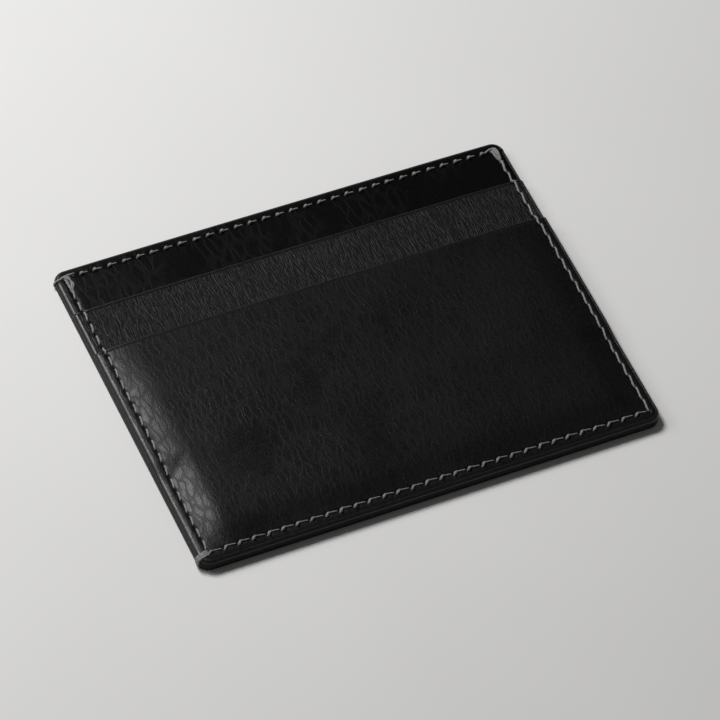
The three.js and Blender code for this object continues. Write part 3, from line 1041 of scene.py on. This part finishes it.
# ---- Sewing --------------------------------------------------------------------------------------
def over_edge(side, y, run, start_x):
    """A thread from the seam out over a side edge and down the wall, `run` leaning it along Y."""
    out = HALF_X + THREAD_RADIUS * 0.55
    top = float(front_level(side * SEAM_X, y)) - 0.1
    wall = float(side_top(y)) - MARGIN_DROP
    points = [
        (side * start_x, y, top - 0.4),
        (side * (start_x + 0.25), y + run * 0.1, top + 0.12),
        (side * (HALF_X - 1.0), y + run * 0.6, wall + 0.1 + THREAD_RADIUS * 0.7),
        (side * (HALF_X - 0.3), y + run * 0.85, wall - 0.02),
        (side * out, y + run * 0.95, wall - 0.55),
        (side * out, y + run, WRAP_FOOT + 0.6),
        (side * (HALF_X - 0.05), y + run, WRAP_FOOT),
    ]
    return smooth_path(points)


def strand(points):
    """A loose strand over the leather: points of (x, y, height above the face)."""
    placed = [(x, y, float(front_level(x, y)) + h) for x, y, h in points]
    return smooth_path(placed)


def make_sewing():
    """The seams' threads on the front and on the back."""
    sides = [
        *stitches(LEFT_RUN, front_stitch, style=LEFT_STITCH),
        *stitches(BOTTOM_RUN, front_stitch, style=BOTTOM_STITCH),
        *stitches(RIGHT_RUN, front_stitch, style=RIGHT_STITCH),
    ]
    thread_piece("side_seam_front", sides, THREAD_SKIN, "side_seam_front_thread")
    thread_piece("top_seam_front", stitches(TOP_RUN, front_stitch), THREAD_SKIN, "top_seam_front_thread")
    backs = []
    for run in (LEFT_RUN, BOTTOM_RUN, RIGHT_RUN):
        backs += stitches(run, back_stitch)
    thread_piece("side_seam_back", backs, THREAD_SKIN, "side_seam_back_thread")
    thread_piece("top_seam_back", stitches(TOP_RUN, back_stitch), THREAD_SKIN, "top_seam_back_thread")


def tack(corner_x, corner_y, strands):
    """Loose strands round a corner hole: each a list of (x, y, height), x outwards, y upwards."""
    side = 1 if corner_x > 0 else -1
    return [strand([(corner_x + side * x, corner_y + y, h) for x, y, h in way]) for way in strands]


TOP_LEFT_KNOT = (
    ((0.30, 0.10, -0.3), (0.25, -0.5, 0.20), (0.15, -1.8, 0.22), (0.10, -3.0, 0.18), (0.0, -3.9, -0.3)),
    ((-0.30, 0.50, -0.3), (-0.55, -0.1, 0.28), (-0.6, -1.4, 0.30), (-0.3, -2.8, 0.25), (-0.1, -3.8, -0.3)),
    ((0.10, 0.30, -0.3), (-0.20, -0.4, 0.45), (-0.8, -1.5, 0.25), (-0.75, -2.3, 0.2), (-0.2, -3.3, -0.2)),
    ((1.30, 0.05, -0.25), (0.70, 0.15, 0.18), (-0.3, 0.3, 0.38), (-1.3, 0.35, 0.3), (-2.2, 0.75, -0.25)),
    ((0.90, 0.45, -0.2), (0.40, 0.20, 0.25), (0.0, -0.5, 0.5), (-0.1, -1.2, -0.1)),
)
TOP_RIGHT_KNOT = (
    ((-2.1, -0.05, -0.3), (-1.7, 0.05, 0.2), (-0.7, 0.25, 0.34), (0.0, 0.1, 0.45), (0.35, -0.6, 0.45),
     (0.3, -1.8, 0.36), (0.1, -2.8, 0.2), (0.0, -3.4, -0.3)),
    ((-0.6, 0.15, -0.2), (-0.3, -0.1, 0.42), (-0.1, -0.9, 0.56), (0.0, -1.8, 0.42), (-0.05, -2.9, -0.2)),
    ((-1.0, -0.10, -0.2), (-0.65, -0.35, 0.25), (-0.55, -1.1, 0.3), (-0.4, -2.0, 0.2), (0.0, -2.8, -0.2)),
    ((0.05, -3.0, -0.3), (0.15, -3.4, 0.3), (0.05, -4.4, 0.3), (-0.1, -5.2, 0.25), (-0.1, -5.7, -0.3)),
)


def make_tacks():
    """The doubled thread at three corners, and the two threads wrapped over the edges."""
    x, y = SEAM_X, SEAM_Y
    left = tack(-x, y, TOP_LEFT_KNOT)
    thread_piece("top_left_tack", left, THREAD_SKIN, "top_left_corner_tack", thick=1.05)
    right = tack(x, y, TOP_RIGHT_KNOT)
    thread_piece("top_right_tack", right, THREAD_SKIN, "top_right_corner_tack", thick=1.15)
    corner = [
        over_edge(-1, -y - 0.30, -0.3, x - 0.2),
        over_edge(-1, -y + 0.15, -0.35, x - 0.1),
        over_edge(-1, -y + 0.55, -0.4, x),
    ]
    thread_piece("bottom_left_tack", corner, THREAD_SKIN, "bottom_left_corner_tack", thick=1.25)
    wrap = [over_edge(-1, y + 0.1, 0.0, x - 0.1)]
    thread_piece("top_left_wrap", wrap, THREAD_SKIN, "top_left_edge_wrap")
    wrap = [over_edge(1, T_MOUTH, -0.35, x - 0.15)]
    thread_piece("t_mouth_wrap", wrap, THREAD_SKIN, "t_mouth_edge_wrap")


def paint_kept_nodes():
    """Gives the CAD nodes that are kept as they are the same finishes as the rest."""
    for node, material in (("back_lining", LINING_SKIN), ("t_pocket_bottom_seam", THREAD_SKIN)):
        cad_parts[node].data.materials.clear()
        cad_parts[node].data.materials.append(material)


# ---- Stage ---------------------------------------------------------------------------------------
CAMERA_AZIMUTH = -31.97
CAMERA_ELEVATION = 52.895
CAMERA_ROLL = 9.172
CAMERA_DISTANCE = 958.39
CAMERA_SHIFT = (-0.996, -1.516)
CAMERA_LENS = 240
CAMERA_SENSOR = 36
FLOOR_DROP = 0.02

# In metres.
CAMERA_CLIP = 0.01
FLOOR_REACH = 3.0

WORLD_STRENGTH = 0.09
WHITE = (1, 1, 1, 1)


def direction(azimuth, elevation):
    """The unit vector towards a viewer or lamp, with azimuth 0 on -Y."""
    a, e = math.radians(azimuth), math.radians(elevation)
    return Vector((math.sin(a) * math.cos(e), -math.cos(a) * math.cos(e), math.sin(e)))


def make_camera():
    """The camera at the photo's viewing angle, its place given from the point it aims at."""
    back = direction(CAMERA_AZIMUTH, CAMERA_ELEVATION)
    right = Vector((0, 0, 1)).cross(back).normalized()
    turn = Matrix.Rotation(math.radians(CAMERA_ROLL), 3, back)
    right = turn @ right
    up = back.cross(right)
    aim = -right * CAMERA_SHIFT[0] + up * CAMERA_SHIFT[1]
    camera = bpy.data.objects.new("camera", bpy.data.cameras.new("camera"))
    camera.data.lens = CAMERA_LENS
    camera.data.sensor_width = CAMERA_SENSOR
    camera.data.clip_start = CAMERA_CLIP
    place = (aim + back * CAMERA_DISTANCE) * MM
    camera.matrix_world = Matrix.Translation(place) @ Matrix((right, up, back)).transposed().to_4x4()
    bpy.context.scene.collection.objects.link(camera)
    bpy.context.scene.camera = camera


def make_lamp(name, azimuth, elevation, distance, size, power):
    """A round soft lamp that faces the origin, with metres for its distance and size."""
    lamp = bpy.data.lights.new(name, "AREA")
    lamp.shape = "DISK"
    lamp.size = size
    lamp.energy = power
    thing = bpy.data.objects.new(name, lamp)
    towards = direction(azimuth, elevation)
    thing.location = towards * distance
    thing.rotation_euler = towards.to_track_quat("Z", "Y").to_euler()
    bpy.context.scene.collection.objects.link(thing)


def make_stage():
    """The floor, two lamps and a faint even light from everywhere."""
    mesh = bpy.data.meshes.new("floor")
    level = -FLOOR_DROP * MM
    ends = ((-1, -1), (1, -1), (1, 1), (-1, 1))
    mesh.from_pydata([(x * FLOOR_REACH, y * FLOOR_REACH, level) for x, y in ends], [], [(0, 1, 2, 3)])
    mesh.materials.append(pale_floor())
    floor = bpy.data.objects.new("floor", mesh)
    bpy.context.scene.collection.objects.link(floor)
    make_lamp("key_lamp", azimuth=207.6, elevation=54.8, distance=0.62, size=0.22, power=3.55)
    make_lamp("side_lamp", azimuth=234.9, elevation=37.5, distance=0.7, size=0.3, power=1.1)
    world = bpy.data.worlds.new("studio")
    world.use_nodes = True
    background = world.node_tree.nodes["Background"]
    background.inputs["Color"].default_value = WHITE
    background.inputs["Strength"].default_value = WORLD_STRENGTH
    bpy.context.scene.world = world
    bpy.context.scene.view_settings.view_transform = "Standard"


make_camera()
make_panels()
make_edges()
make_sewing()
make_tacks()
paint_kept_nodes()
make_stage()
